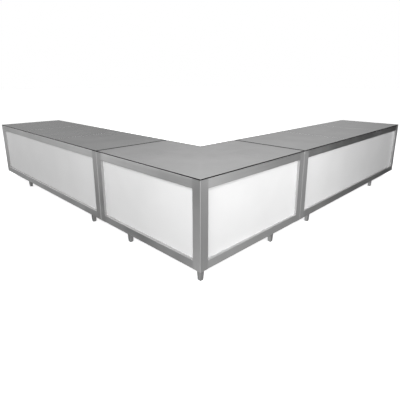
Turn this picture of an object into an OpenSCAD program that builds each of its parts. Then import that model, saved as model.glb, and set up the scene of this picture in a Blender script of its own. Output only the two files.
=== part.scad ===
// Buffet counter: an L-shaped row of three free-standing units bolted end to end.
// A corner unit stands between two straight units. Each unit is a welded frame of square posts
// and rails with white panels set back in its openings, plates of grey glass on top, boards for
// storage inside, an open service side at the rear and feet that screw in and out.
// Plan: x runs along the front of the right arm and y along the front of the left arm, both from
// the outer corner. Heights are measured up from the floor, in millimetres.

/* [Row] */
// Height of the worktop above the floor
height = 850; // [760:5:950]
// Depth of every unit, from its front face to its rear face
depth = 925; // [700:5:1100]
// Length of the corner unit along each of its two fronts
corner_len = 1500; // [1400:10:1900]
// Length of each straight unit
straight_len = 3000; // [2600:10:3600]
// Number of equal bays and worktop plates in a straight unit
bay_count = 3; // [2:1:4]

/* [Frame] */
// Width of the square posts, and so the depth of the rails
post_w = 85; // [75:1:100]
// Height of the rails
rail_h = 78; // [60:1:95]
// Wall of posts, rails and bars
wall = 2; // [1.5:0.5:3]
// Outside radius of the exposed edge of a post
post_r = 6; // [4:0.5:10]
// Outside radius of the long edges of rails and bars
rail_r = 4; // [3.5:0.5:8]
// Width and height of cross bars, uprights and bearers
bar_w = 40; // [30:1:50]
// Thickness of the plate that closes the foot of a post
cap_t = 4; // [3:1:8]

/* [Panels] */
// Thickness of the white panels
panel_t = 6; // [4:1:10]
// Depth that a panel lies behind the frame's face
panel_recess = 28; // [12:1:32]
// Side of the square beads that hold a panel from behind
bead_w = 10; // [8:1:14]
// Clearance between a panel's edge and the frame
panel_gap = 1; // [0.5:0.5:2]

/* [Worktop] */
// Thickness of the glass
glass_t = 8; // [6:1:12]
// Thickness of the bonding tape under the glass
tape_t = 2; // [1:0.5:4]
// Width of the bonding tape
tape_w = 20; // [12:1:30]
// Distance from the frame's face to the tape
tape_inset = 12; // [8:1:25]
// Distance from the unit joint to the glass of a straight unit
glass_setback = 4; // [2:1:8]
// Distance from the unit joint to the glass of the corner unit
corner_setback = 26; // [10:1:30]
// Gap between two plates of one unit
plate_gap = 1.5; // [1:0.5:3]
// Depth of the black seal below the worktop's surface
seal_drop = 3; // [1:0.5:5]

/* [Storage] */
// Thickness of the deck and shelf boards
board_t = 16; // [12:1:25]
// Height of the shelf's upper face above the floor
shelf_height = 470; // [420:5:560]
// Clearance round a board and between two boards
board_gap = 1; // [0.5:0.5:3]
// Distance from the rear face to the deck boards
deck_setback = 5; // [2:1:20]

/* [Feet] */
// Height of the frame's underside above the floor, feet screwed right in
foot_height = 95; // [80:1:130]
// Width of a foot at its top
foot_top_w = 44; // [36:1:56]
// Width of a foot on the floor
foot_base_w = 36; // [28:1:44]
// Diameter of the round neck between foot and frame
neck_d = 30; // [24:1:34]
// Height of the neck
neck_h = 5; // [3:1:8]
// Diameter of the threaded stud
stud_d = 16; // [12:1:20]
// Length of the stud above the neck
stud_len = 40; // [35:1:45]
// Outside diameter of the bush that takes the stud
bush_d = 30; // [26:1:40]
// Length of the bush
bush_len = 45; // [35:1:55]
// Distance from the unit joint to the nearer feet of a straight unit
near_foot = 240; // [150:5:400]
// Distance from the unit joint to the farther feet of a straight unit
far_foot = 2135; // [1600:5:2300]
// Distance from the inner corner to the feet beside it
corner_foot = 90; // [50:5:150]

/* [Joints between units] */
// Diameter of the joining bolts
bolt_d = 10; // [8:1:12]
// Distance from the front face to the front bolts
bolt_inset = 65; // [60:1:70]
// Height of the lower bolts above the floor
bolt_low = 300; // [260:5:380]
// Height of the upper bolts above the floor
bolt_high = 600; // [580:5:640]

/* [Hidden] */
$fn = 48;

// Length of a whole arm, and the heights that everything else hangs on
row_len = corner_len + straight_len;
glass_z = height - glass_t;
frame_z1 = glass_z - tape_t;
frame_z0 = foot_height;
rail_top_z = frame_z1 - rail_h;
opening_z = frame_z0 + rail_h;
opening_h = rail_top_z - opening_z;
post_h = frame_z1 - frame_z0;

// Places measured from a unit's front face
panel_back = panel_recess + panel_t;
bead_back = panel_back + bead_w;
inside_y = bead_back + board_gap;
upright_back = inside_y + bar_w;
rear_y = depth - post_w;
shelf_y0 = max(post_w, upright_back) + board_gap;
shelf_y1 = rear_y - board_gap;
shelf_z = shelf_height - board_t;
bearer_z = shelf_z - bar_w;
bay_len = straight_len / bay_count;
bar_x = depth - bar_w;
corner_glass_end = corner_len - corner_setback;
board_split = depth - bar_w / 2;

// Feet, bushes and bolts
foot_y = post_w / 2;
corner_foot_x = depth + corner_foot;
body_h = foot_height - neck_h;
thread_fit = 0.05;
bush_fit = 0.1;
cap_fit = 0.2;
bolt_fit = 0.5;
seal_fit = 0.2;
head_af = 1.7 * bolt_d;
head_h = 0.64 * bolt_d;
nut_h = 0.84 * bolt_d;
bolt_tip = 3;
cleat_w = 40;
cleat_t = 3;
cut = 1;

steel = [0.70, 0.71, 0.72];
rail_steel = [0.76, 0.77, 0.78];
foot_steel = [0.52, 0.53, 0.54];
zinc = [0.60, 0.62, 0.64];
white_acrylic = [0.95, 0.96, 0.96];
grey_glass = [0.55, 0.57, 0.58];
board_grey = [0.80, 0.80, 0.79];
alloy = [0.82, 0.83, 0.84];
black = [0.08, 0.08, 0.08];

// Places in the row

// Puts the corner unit in place: its outer corner is the outer corner of the row
module on_corner() {
    translate([-row_len / 2, -row_len / 2, 0]) children();
}

// Repeats one arm of the corner unit on the other arm
module both_arms() {
    children();
    mirror([1, -1, 0]) children();
}

// Puts a straight unit at the end of the right arm: x from the unit joint, y from its front
module on_right() {
    translate([corner_len - row_len / 2, -row_len / 2, 0]) children();
}

// Puts a straight unit at the end of the left arm, as the mirror image of the right one
module on_left() {
    on_corner() mirror([1, -1, 0]) translate([corner_len, 0, 0]) children();
}

// Sections

// Rectangle with four rounded corners
module rounded_rect(w, h, r) {
    translate([r, 0]) square([w - 2 * r, h]);
    translate([0, r]) square([w, h - 2 * r]);
    for (x = [r, w - r], y = [r, h - r]) translate([x, y]) circle(r);
}

// Square with its first corner rounded
module post_outline(w, r) {
    difference() {
        square(w);
        translate([-cut, -cut]) square(r + cut);
    }
    translate([r, r]) circle(r);
}

// Inner radius of a folded section
function inner_r(r) = max(r - wall, 0.5);

// Hollow section of a rail or a bar
module tube_section(w, h) {
    difference() {
        rounded_rect(w, h, rail_r);
        translate([wall, wall]) rounded_rect(w - 2 * wall, h - 2 * wall, inner_r(rail_r));
    }
}

// Hollow bar along x, from its lowest corner
module tube_x(len, w, h) {
    rotate([90, 0, 90]) linear_extrude(len) tube_section(w, h);
}

// Hollow bar along y, from its lowest corner
module tube_y(len, w, h) {
    translate([0, len, 0]) rotate([90, 0, 0]) linear_extrude(len) tube_section(w, h);
}

// Hollow upright bar
module tube_z(len) {
    linear_extrude(len) tube_section(bar_w, bar_w);
}

// Box between two corners
module block(a, b) {
    translate(a) cube(b - a);
}

// Posts

// Hollow post whose exposed edge stands at a corner of the plan, turned in quarter turns
module post(x, y, turn) {
    translate([x, y, frame_z0]) rotate(turn) linear_extrude(post_h) difference() {
        post_outline(post_w, post_r);
        translate([wall, wall]) post_outline(post_w - 2 * wall, inner_r(post_r));
    }
}

// Plate that closes the foot of the same post
module post_cap(x, y, turn) {
    inset = wall + cap_fit;
    translate([x, y, frame_z0]) rotate(turn) linear_extrude(cap_t) translate([inset, inset])
        post_outline(post_w - 2 * inset, max(inner_r(post_r) - cap_fit, 0.5));
}

// Holes for the joining bolts through a post that starts at x
module bolt_holes(x) {
    for (y = [bolt_inset, depth - post_w / 2], z = [bolt_low, bolt_high])
        translate([x - cut, y, z]) rotate([0, 90, 0])
            cylinder(h = post_w + 2 * cut, r = bolt_d / 2 + bolt_fit);
}

// Hole for a foot's bush through the underside
module bush_hole(x, y, t) {
    translate([x, y, frame_z0 - cut]) cylinder(h = t + 2 * cut, r = bush_d / 2 + bush_fit);
}

// Straight unit

module straight_posts() {
    color(steel) difference() {
        union() {
            post(0, 0, 0);
            post(0, depth, 270);
            post(straight_len, 0, 90);
            post(straight_len, depth, 180);
        }
        bolt_holes(0);
    }
}

module straight_caps() {
    post_cap(0, 0, 0);
    post_cap(0, depth, 270);
    post_cap(straight_len, 0, 90);
    post_cap(straight_len, depth, 180);
}

module straight_long_rails() {
    color(rail_steel) difference() {
        for (y = [0, rear_y], z = [frame_z0, rail_top_z])
            translate([post_w, y, z]) tube_x(straight_len - 2 * post_w, post_w, rail_h);
        for (x = [near_foot, far_foot], y = [foot_y, depth - foot_y]) bush_hole(x, y, wall);
    }
}

// Rails across the end of a unit whose end starts at x
module end_rails(x) {
    for (z = [frame_z0, rail_top_z])
        translate([x, post_w, z]) tube_y(rear_y - post_w, post_w, rail_h);
}

module straight_end_rails() {
    color(rail_steel) {
        end_rails(0);
        end_rails(straight_len - post_w);
    }
}

// Bar under the glass, centred on x
module cross_bar(x) {
    translate([x - bar_w / 2, post_w, frame_z1 - bar_w]) tube_y(rear_y - post_w, bar_w, bar_w);
}

module straight_cross_bars() {
    color(steel) for (i = [1 : bay_count - 1]) cross_bar(i * bay_len);
}

// Upright between the bottom and the top rail, from its lowest corner in plan
module upright(x, y) {
    translate([x, y, opening_z]) tube_z(opening_h);
}

module straight_uprights() {
    color(steel) for (i = [1 : bay_count - 1], y = [inside_y, rear_y])
        upright(i * bay_len - bar_w / 2, y);
}

// Panel in an opening of a front between two distances along it
module front_panel(x0, x1) {
    block([x0 + panel_gap, panel_recess, opening_z + panel_gap],
          [x1 - panel_gap, panel_back, rail_top_z - panel_gap]);
}

// Four beads behind a panel in the same opening
module front_beads(x0, x1) {
    for (z = [opening_z, rail_top_z - bead_w])
        block([x0, panel_back, z], [x1, bead_back, z + bead_w]);
    for (x = [x0, x1 - bead_w])
        block([x, panel_back, opening_z + bead_w],
              [x + bead_w, bead_back, rail_top_z - bead_w]);
}

// Turns a front so that it becomes the far end of a straight unit
module at_far_end() {
    translate([straight_len, 0, 0]) rotate(90) children();
}

module straight_front_panel() {
    color(white_acrylic) front_panel(post_w, straight_len - post_w);
}

module straight_end_panel() {
    color(white_acrylic) at_far_end() front_panel(post_w, rear_y);
}

module straight_beads() {
    color(alloy) {
        front_beads(post_w, straight_len - post_w);
        at_far_end() front_beads(post_w, rear_y);
    }
}

// Bearer under the shelf boards, from its lowest x
module shelf_bearer(x, y0) {
    translate([x, y0, bearer_z]) tube_y(rear_y - y0, bar_w, bar_w);
}

module straight_shelf_bearers() {
    color(steel) {
        shelf_bearer(post_w - bar_w, post_w);
        for (i = [1 : bay_count - 1]) shelf_bearer(i * bay_len - bar_w / 2, upright_back);
        shelf_bearer(straight_len - post_w, post_w);
    }
}

// First and last x of the board in a bay of a straight unit
function board_x0(i) = i == 0 ? board_gap : i * bay_len + board_gap / 2;
function board_x1(i) =
    i == bay_count - 1 ? straight_len - inside_y : (i + 1) * bay_len - board_gap / 2;

// Footprint of a post or an upright with clearance all round, through a deck board
module notch(x, y, w) {
    block([x - board_gap, y - board_gap, opening_z - cut],
          [x + w + board_gap, y + w + board_gap, opening_z + board_t + cut]);
}

module straight_deck_boards() {
    color(board_grey) difference() {
        for (i = [0 : bay_count - 1])
            block([board_x0(i), inside_y, opening_z],
                  [board_x1(i), depth - deck_setback, opening_z + board_t]);
        for (x = [0, straight_len - post_w], y = [0, rear_y]) notch(x, y, post_w);
        for (i = [1 : bay_count - 1], y = [inside_y, rear_y])
            notch(i * bay_len - bar_w / 2, y, bar_w);
    }
}

module straight_shelf_boards() {
    color(board_grey) for (i = [0 : bay_count - 1])
        block([board_x0(i), shelf_y0, shelf_z], [board_x1(i), shelf_y1, shelf_height]);
}

module straight_worktop() {
    color(grey_glass) for (i = [0 : bay_count - 1])
        block([i == 0 ? glass_setback : i * bay_len + plate_gap / 2, 0, glass_z],
              [(i + 1) * bay_len - (i == bay_count - 1 ? 0 : plate_gap / 2), depth, height]);
}

// Tape along a stretch of a rail that starts at y
module tape(x0, x1, y) {
    block([x0, y, frame_z1], [x1, y + tape_w, glass_z]);
}

// Tape across a unit on the bar or rail centred on x
module cross_tape(x) {
    block([x - tape_w / 2, post_w, frame_z1], [x + tape_w / 2, rear_y, glass_z]);
}

module straight_tapes() {
    for (y = [tape_inset, depth - tape_inset - tape_w])
        tape(tape_inset, straight_len - tape_inset, y);
    for (i = [1 : bay_count - 1]) cross_tape(i * bay_len);
    for (x = [post_w / 2, straight_len - post_w / 2]) cross_tape(x);
}

// Corner unit

module corner_posts_plan() {
    post(0, 0, 0);
    post(rear_y, rear_y, 0);
}

module corner_arm_posts() {
    difference() {
        union() {
            post(corner_len, 0, 90);
            post(corner_len, depth, 180);
        }
        bolt_holes(corner_len - post_w);
    }
}

module corner_arm_caps() {
    post_cap(corner_len, 0, 90);
    post_cap(corner_len, depth, 180);
}

module corner_arm_front_rails() {
    difference() {
        for (z = [frame_z0, rail_top_z])
            translate([post_w, 0, z]) tube_x(corner_len - 2 * post_w, post_w, rail_h);
        bush_hole(corner_foot_x, foot_y, wall);
    }
}

module corner_arm_rear_rails() {
    difference() {
        for (z = [frame_z0, rail_top_z])
            translate([depth, rear_y, z]) tube_x(corner_len - post_w - depth, post_w, rail_h);
        bush_hole(corner_foot_x, depth - foot_y, wall);
    }
}

// Bearers of one arm: under the boards' split at deck and shelf height, and at the arm's end
module corner_arm_bearers() {
    translate([bar_x, post_w, opening_z - bar_w]) tube_y(rear_y - post_w, bar_w, bar_w);
    shelf_bearer(bar_x, upright_back);
    shelf_bearer(corner_len - post_w, post_w);
}

// Angle on the outer post that carries the corner of the square shelf board
module shelf_cleat() {
    reach = post_w + cleat_w;
    difference() {
        block([post_w - cleat_w, post_w - cleat_w, shelf_z - cleat_w], [reach, reach, shelf_z]);
        block([-cut, -cut, shelf_z - cleat_w - cut], [post_w, post_w, shelf_z + cut]);
        block([post_w + cleat_t, -cut, shelf_z - cleat_w - cut],
              [reach + cut, reach + cut, shelf_z - cleat_t]);
        block([-cut, post_w + cleat_t, shelf_z - cleat_w - cut],
              [reach + cut, reach + cut, shelf_z - cleat_t]);
    }
}

module corner_arm_tapes() {
    tape(post_w, corner_glass_end - tape_inset, tape_inset);
    tape(depth, corner_glass_end - tape_inset, depth - tape_inset - tape_w);
    cross_tape(depth);
    cross_tape(corner_len - post_w / 2);
}

// Seal between the plates of the corner unit and a straight unit
module joint_seal() {
    block([corner_glass_end + seal_fit, 0, frame_z1],
          [corner_len + glass_setback - seal_fit, depth, height - seal_drop]);
}

// Square deck board of the corner, cut out round the posts and uprights
module square_deck_board() {
    end = board_split - board_gap / 2;
    difference() {
        block([inside_y, inside_y, opening_z], [end, end, opening_z + board_t]);
        notch(0, 0, post_w);
        notch(rear_y, rear_y, post_w);
        both_arms() notch(bar_x, inside_y, bar_w);
    }
}

// Deck board of one arm of the corner unit
module arm_deck_board() {
    difference() {
        block([board_split + board_gap / 2, inside_y, opening_z],
              [corner_len - board_gap, depth - deck_setback, opening_z + board_t]);
        notch(rear_y, rear_y, post_w);
        notch(bar_x, inside_y, bar_w);
        for (y = [0, rear_y]) notch(corner_len - post_w, y, post_w);
    }
}

// Square shelf board of the corner, cut out round the inner post
module square_shelf_board() {
    end = board_split - board_gap / 2;
    difference() {
        block([shelf_y0, shelf_y0, shelf_z], [end, end, shelf_height]);
        block([shelf_y1, shelf_y1, shelf_z - cut], [end + cut, end + cut, shelf_height + cut]);
    }
}

// Shelf board of one arm of the corner unit
module arm_shelf_board() {
    block([board_split + board_gap / 2, shelf_y0, shelf_z],
          [corner_len - board_gap, shelf_y1, shelf_height]);
}

// Feet

// Block with four sloping sides, from the floor up
module tapered_block(base, top, h) {
    side = [[-base / 2, 0], [base / 2, 0], [top / 2, h], [-top / 2, h]];
    intersection() {
        rotate([90, 0, 0]) linear_extrude(2 * top, center = true) polygon(side);
        rotate([90, 0, 90]) linear_extrude(2 * top, center = true) polygon(side);
    }
}

// Foot with its neck and its threaded stud
module foot(x, y) {
    color(foot_steel) translate([x, y, 0]) {
        tapered_block(foot_base_w, foot_top_w, body_h);
        translate([0, 0, body_h - cut]) cylinder(h = neck_h + cut, r = neck_d / 2);
        translate([0, 0, foot_height - cut]) cylinder(h = stud_len + cut, r = stud_d / 2);
    }
}

// Threaded bush welded into the frame above a foot
module bush(x, y) {
    translate([x, y, frame_z0]) difference() {
        cylinder(h = bush_len, r = bush_d / 2);
        translate([0, 0, -cut]) cylinder(h = bush_len + 2 * cut, r = stud_d / 2 + thread_fit);
    }
}

// Bolts between two units, their heads in the straight unit
module arm_bolts() {
    for (y = [bolt_inset, depth - post_w / 2], z = [bolt_low, bolt_high])
        translate([corner_len + post_w, y, z]) rotate([0, -90, 0]) {
            cylinder(h = 2 * post_w + nut_h + bolt_tip, r = bolt_d / 2);
            translate([0, 0, -head_h]) cylinder(h = head_h, r = head_af / sqrt(3), $fn = 6);
        }
}

// Nuts on the same bolts, in the corner unit
module arm_nuts() {
    for (y = [bolt_inset, depth - post_w / 2], z = [bolt_low, bolt_high])
        translate([corner_len - post_w, y, z]) rotate([0, -90, 0]) difference() {
            cylinder(h = nut_h, r = head_af / sqrt(3), $fn = 6);
            translate([0, 0, -cut]) cylinder(h = nut_h + 2 * cut, r = bolt_d / 2 + thread_fit);
        }
}

// Sub-parts of the corner unit

module corner_posts() {
    color(steel) on_corner() {
        corner_posts_plan();
        both_arms() corner_arm_posts();
    }
}

module corner_front_rails() {
    color(rail_steel) on_corner() both_arms() corner_arm_front_rails();
}

module corner_rear_rails() {
    color(rail_steel) on_corner() both_arms() corner_arm_rear_rails();
}

module corner_end_rails() {
    color(rail_steel) on_corner() both_arms() end_rails(corner_len - post_w);
}

module corner_cross_bars() {
    color(steel) on_corner() both_arms() cross_bar(depth);
}

module corner_uprights() {
    color(steel) on_corner() both_arms() upright(bar_x, inside_y);
}

module corner_panel_right() {
    color(white_acrylic) on_corner() front_panel(post_w, corner_len - post_w);
}

module corner_panel_left() {
    color(white_acrylic) on_corner() mirror([1, -1, 0])
        front_panel(post_w, corner_len - post_w);
}

module corner_panel_beads() {
    color(alloy) on_corner() both_arms() front_beads(post_w, corner_len - post_w);
}

module corner_bearers() {
    color(steel) on_corner() {
        both_arms() corner_arm_bearers();
        shelf_cleat();
    }
}

module corner_deck_boards() {
    color(board_grey) on_corner() {
        square_deck_board();
        both_arms() arm_deck_board();
    }
}

module corner_shelf_boards() {
    color(board_grey) on_corner() {
        square_shelf_board();
        both_arms() arm_shelf_board();
    }
}

module corner_worktop() {
    color(grey_glass) on_corner() {
        block([0, 0, glass_z], [depth - plate_gap / 2, depth - plate_gap / 2, height]);
        both_arms() block([depth + plate_gap / 2, 0, glass_z], [corner_glass_end, depth, height]);
    }
}

// Sub-parts of the right unit

module right_posts() { on_right() straight_posts(); }
module right_long_rails() { on_right() straight_long_rails(); }
module right_end_rails() { on_right() straight_end_rails(); }
module right_cross_bars() { on_right() straight_cross_bars(); }
module right_uprights() { on_right() straight_uprights(); }
module right_front_panel() { on_right() straight_front_panel(); }
module right_end_panel() { on_right() straight_end_panel(); }
module right_panel_beads() { on_right() straight_beads(); }
module right_shelf_bearers() { on_right() straight_shelf_bearers(); }
module right_deck_boards() { on_right() straight_deck_boards(); }
module right_shelf_boards() { on_right() straight_shelf_boards(); }
module right_worktop() { on_right() straight_worktop(); }

// Sub-parts of the left unit

module left_posts() { on_left() straight_posts(); }
module left_long_rails() { on_left() straight_long_rails(); }
module left_end_rails() { on_left() straight_end_rails(); }
module left_cross_bars() { on_left() straight_cross_bars(); }
module left_uprights() { on_left() straight_uprights(); }
module left_front_panel() { on_left() straight_front_panel(); }
module left_end_panel() { on_left() straight_end_panel(); }
module left_panel_beads() { on_left() straight_beads(); }
module left_shelf_bearers() { on_left() straight_shelf_bearers(); }
module left_deck_boards() { on_left() straight_deck_boards(); }
module left_shelf_boards() { on_left() straight_shelf_boards(); }
module left_worktop() { on_left() straight_worktop(); }

// Sub-parts that run through all three units

// Plates at the feet of all posts, the one over the outer foot drilled for its bush
module post_caps() {
    color(steel) {
        on_corner() {
            difference() {
                post_cap(0, 0, 0);
                bush_hole(foot_y, foot_y, cap_t);
            }
            post_cap(rear_y, rear_y, 0);
            both_arms() corner_arm_caps();
        }
        on_right() straight_caps();
        on_left() straight_caps();
    }
}

module straight_bushes() {
    for (x = [near_foot, far_foot], y = [foot_y, depth - foot_y]) bush(x, y);
}

module foot_bushes() {
    color(zinc) {
        on_corner() {
            bush(foot_y, foot_y);
            both_arms() for (y = [foot_y, depth - foot_y]) bush(corner_foot_x, y);
        }
        on_right() straight_bushes();
        on_left() straight_bushes();
    }
}

module worktop_tapes() {
    color(black) {
        on_corner() both_arms() corner_arm_tapes();
        on_right() straight_tapes();
        on_left() straight_tapes();
    }
}

module joint_seals() {
    color(black) on_corner() both_arms() joint_seal();
}

module joining_bolts() {
    color(zinc) on_corner() both_arms() arm_bolts();
}

module joining_nuts() {
    color(zinc) on_corner() both_arms() arm_nuts();
}

// Feet, one to a sub-part because each is set by itself

module corner_foot_outer() { on_corner() foot(foot_y, foot_y); }
module corner_foot_right_front() { on_corner() foot(corner_foot_x, foot_y); }
module corner_foot_right_rear() { on_corner() foot(corner_foot_x, depth - foot_y); }
module corner_foot_left_front() { on_corner() foot(foot_y, corner_foot_x); }
module corner_foot_left_rear() { on_corner() foot(depth - foot_y, corner_foot_x); }
module right_foot_near_front() { on_right() foot(near_foot, foot_y); }
module right_foot_near_rear() { on_right() foot(near_foot, depth - foot_y); }
module right_foot_far_front() { on_right() foot(far_foot, foot_y); }
module right_foot_far_rear() { on_right() foot(far_foot, depth - foot_y); }
module left_foot_near_front() { on_left() foot(near_foot, foot_y); }
module left_foot_near_rear() { on_left() foot(near_foot, depth - foot_y); }
module left_foot_far_front() { on_left() foot(far_foot, foot_y); }
module left_foot_far_rear() { on_left() foot(far_foot, depth - foot_y); }

corner_posts();
corner_front_rails();
corner_rear_rails();
corner_end_rails();
corner_cross_bars();
corner_uprights();
corner_panel_right();
corner_panel_left();
corner_panel_beads();
corner_bearers();
corner_deck_boards();
corner_shelf_boards();
corner_worktop();
right_posts();
right_long_rails();
right_end_rails();
right_cross_bars();
right_uprights();
right_front_panel();
right_end_panel();
right_panel_beads();
right_shelf_bearers();
right_deck_boards();
right_shelf_boards();
right_worktop();
left_posts();
left_long_rails();
left_end_rails();
left_cross_bars();
left_uprights();
left_front_panel();
left_end_panel();
left_panel_beads();
left_shelf_bearers();
left_deck_boards();
left_shelf_boards();
left_worktop();
post_caps();
foot_bushes();
worktop_tapes();
joint_seals();
joining_bolts();
joining_nuts();
corner_foot_outer();
corner_foot_right_front();
corner_foot_right_rear();
corner_foot_left_front();
corner_foot_left_rear();
right_foot_near_front();
right_foot_near_rear();
right_foot_far_front();
right_foot_far_rear();
left_foot_near_front();
left_foot_near_rear();
left_foot_far_front();
left_foot_far_rear();
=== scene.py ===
"""Finishes and modelled detail for a buffet counter: an L-shaped row of three steel framed units.

Sizes are metres in the frame of the row: the outer corner of the L is its lowest corner in plan,
the right arm runs along +X and the left arm along +Y. What both arms have is worked out once in arm
coordinates, which are the distance along the arm from the outer corner, the distance in from its
front face and the height, and is then laid on either arm.
"""

import logging
import math
from dataclasses import dataclass, field, fields
from enum import Enum
from typing import Any, Iterable, Optional, Sequence

import bmesh
import bpy
import numpy as np
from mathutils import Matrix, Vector


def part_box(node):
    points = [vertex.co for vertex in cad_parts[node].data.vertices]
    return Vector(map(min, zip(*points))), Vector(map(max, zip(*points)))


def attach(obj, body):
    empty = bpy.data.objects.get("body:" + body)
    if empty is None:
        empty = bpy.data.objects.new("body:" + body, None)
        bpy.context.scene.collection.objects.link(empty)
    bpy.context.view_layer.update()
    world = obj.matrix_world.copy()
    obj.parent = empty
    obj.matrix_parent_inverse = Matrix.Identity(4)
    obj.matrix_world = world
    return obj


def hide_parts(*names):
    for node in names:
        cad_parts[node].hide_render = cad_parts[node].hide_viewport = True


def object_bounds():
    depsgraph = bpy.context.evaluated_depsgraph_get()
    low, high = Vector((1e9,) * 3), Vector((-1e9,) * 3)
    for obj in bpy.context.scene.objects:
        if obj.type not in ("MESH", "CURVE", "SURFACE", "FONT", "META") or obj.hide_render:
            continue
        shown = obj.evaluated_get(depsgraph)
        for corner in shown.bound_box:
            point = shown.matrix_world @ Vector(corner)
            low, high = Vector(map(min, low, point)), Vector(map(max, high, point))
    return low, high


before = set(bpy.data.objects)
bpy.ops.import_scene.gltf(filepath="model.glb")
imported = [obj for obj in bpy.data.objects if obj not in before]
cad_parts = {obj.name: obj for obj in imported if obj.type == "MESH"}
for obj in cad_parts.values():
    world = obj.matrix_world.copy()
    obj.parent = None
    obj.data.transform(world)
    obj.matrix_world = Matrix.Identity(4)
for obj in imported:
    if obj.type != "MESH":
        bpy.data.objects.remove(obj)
CAD_LOW, CAD_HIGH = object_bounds()

log = logging.getLogger("buffet_counter")

Tree = bpy.types.NodeTree
Node = bpy.types.Node
Material = bpy.types.Material
Piece = bpy.types.Object

MM = 0.001
SMOOTH_ANGLE = math.radians(35)
BODY = "counter"


class Arm(Enum):
    """The two arms of the row."""

    RIGHT = "right"
    LEFT = "left"

    def place(self, points: np.ndarray) -> np.ndarray:
        """Turns points in arm coordinates into points of the row's frame.

        The left arm is the right one mirrored in the plane through both corners, so its first two
        coordinates change places.

        Args:
            points: array of (along, in, up), one point in its last axis.

        Returns:
            An array of the same shape with (x, y, z).
        """
        order = [0, 1, 2] if self is Arm.RIGHT else [1, 0, 2]
        return points[..., order] + np.array([CAD_LOW.x, CAD_LOW.y, 0.0])


class Grain(Enum):
    """The way a brushed or extruded surface runs."""

    UPRIGHT = "upright"
    ALONG_ARM = "along the arm"
    ACROSS_ARM = "across the arm"


# Node trees

# One noise nearly always lies between NOISE_LOW and NOISE_HIGH, and the sum of two between SUM_LOW
# and SUM_HIGH.
NOISE_LOW, NOISE_HIGH = 0.3, 0.7
SUM_LOW, SUM_HIGH = 0.7, 1.3
NOISE_ROUGHNESS = 0.55


def linear(hex_colour: str) -> tuple[float, float, float, float]:
    """Turns an sRGB hex value into a linear colour with full alpha.

    Each channel c becomes c / 12.92 below 0.04045 and ((c + 0.055) / 1.055) ** 2.4 above it.

    Args:
        hex_colour: six hex digits, such as "c8cacb".

    Returns:
        Red, green, blue and alpha, from 0 to 1.
    """
    channels = [int(hex_colour[i:i + 2], 16) / 255 for i in (0, 2, 4)]
    red, green, blue = (c / 12.92 if c <= 0.04045 else ((c + 0.055) / 1.055) ** 2.4
                        for c in channels)
    return red, green, blue, 1.0


def add_node(tree: Tree, kind: str, settings: Optional[dict[Any, Any]] = None,
             links: Optional[dict[Any, Any]] = None) -> Node:
    """Adds a node with its settings and links.

    Args:
        tree: the node tree that takes the node.
        kind: the node's type without its first words, such as "Math".
        settings: values by name. A lower-case name is a property of the node, and any other name or
            a number is an input socket.
        links: what feeds each input socket, by the input's name or number: an output socket, or a
            node that gives its first output.

    Returns:
        The new node.
    """
    node = tree.nodes.new(f"ShaderNode{kind}")
    for key, value in (settings or {}).items():
        if isinstance(key, str) and key.islower():
            setattr(node, key, value)
        else:
            node.inputs[key].default_value = value
    for key, source in (links or {}).items():
        output = source.outputs[0] if isinstance(source, Node) else source
        tree.links.new(output, node.inputs[key])
    return node


def noise(tree: Tree, place: Any, size_mm: Sequence[float], detail: float = 2.0) -> Node:
    """Lays smooth noise from 0 to 1 whose blots have a real size.

    Args:
        tree: the node tree.
        place: what gives the place in metres.
        size_mm: length of a blot along each axis.
        detail: how many finer octaves are added.

    Returns:
        The node that gives the noise.
    """
    scale = tuple(1.0 / (s * MM) for s in size_mm)
    placed = add_node(tree, "Mapping", {"Scale": scale}, {"Vector": place})
    return add_node(tree, "TexNoise",
                    {"Scale": 1.0, "Detail": detail, "Roughness": NOISE_ROUGHNESS},
                    {"Vector": placed})


def arm_place(tree: Tree) -> tuple[Node, Node]:
    """Gives the place along and across the arm, and the mask of the right arm.

    The larger of x and y runs along the arm on both arms and the smaller one across it, because
    the row is its own mirror image in the plane x = y.

    Args:
        tree: the node tree.

    Returns:
        The nodes that give (along, across, up) in metres, and 1 on the right arm or 0 on the left.
    """
    place = add_node(tree, "TexCoord").outputs["Object"]
    axes = add_node(tree, "SeparateXYZ", links={0: place}).outputs
    along, across, right = (
        add_node(tree, "Math", {"operation": operation}, {0: axes[0], 1: axes[1]})
        for operation in ("MAXIMUM", "MINIMUM", "GREATER_THAN"))
    return add_node(tree, "CombineXYZ", links={0: along, 1: across, 2: axes[2]}), right


def new_material(name: str) -> tuple[Material, Tree]:
    """Makes an empty node material.

    Args:
        name: the material's name.

    Returns:
        The material and its node tree.
    """
    material = bpy.data.materials.new(name)
    material.use_nodes = True
    material.node_tree.nodes.clear()
    return material, material.node_tree


def add_shader(tree: Tree, settings: dict[Any, Any], links: dict[Any, Any]) -> None:
    """Adds the surface shader, with constants on its own sockets, and the output."""
    shader = add_node(tree, "BsdfPrincipled", settings, links)
    add_node(tree, "OutputMaterial", links={"Surface": shader})


# Finishes


@dataclass(frozen=True)
class Finish:
    """What every finish has: a name, and the two close tones that its colour moves between.

    Each kind adds a roughness, which moves from less below that value to more above it, or by
    change both ways.
    """

    name: str
    dark: str
    light: str

    def tone(self, tree: Tree, value: Any, low: float = NOISE_LOW, high: float = NOISE_HIGH) -> Any:
        """Socket of a colour that goes from dark to light as a value goes from low to high."""
        share = add_node(tree, "MapRange", {1: low, 2: high}, {0: value})
        return add_node(tree, "Mix", {"data_type": "RGBA", 6: linear(self.dark),
                                      7: linear(self.light)}, {0: share}).outputs[2]

    def material(self) -> Material:
        """Builds the material, in the way of each kind of finish."""
        raise NotImplementedError


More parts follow.
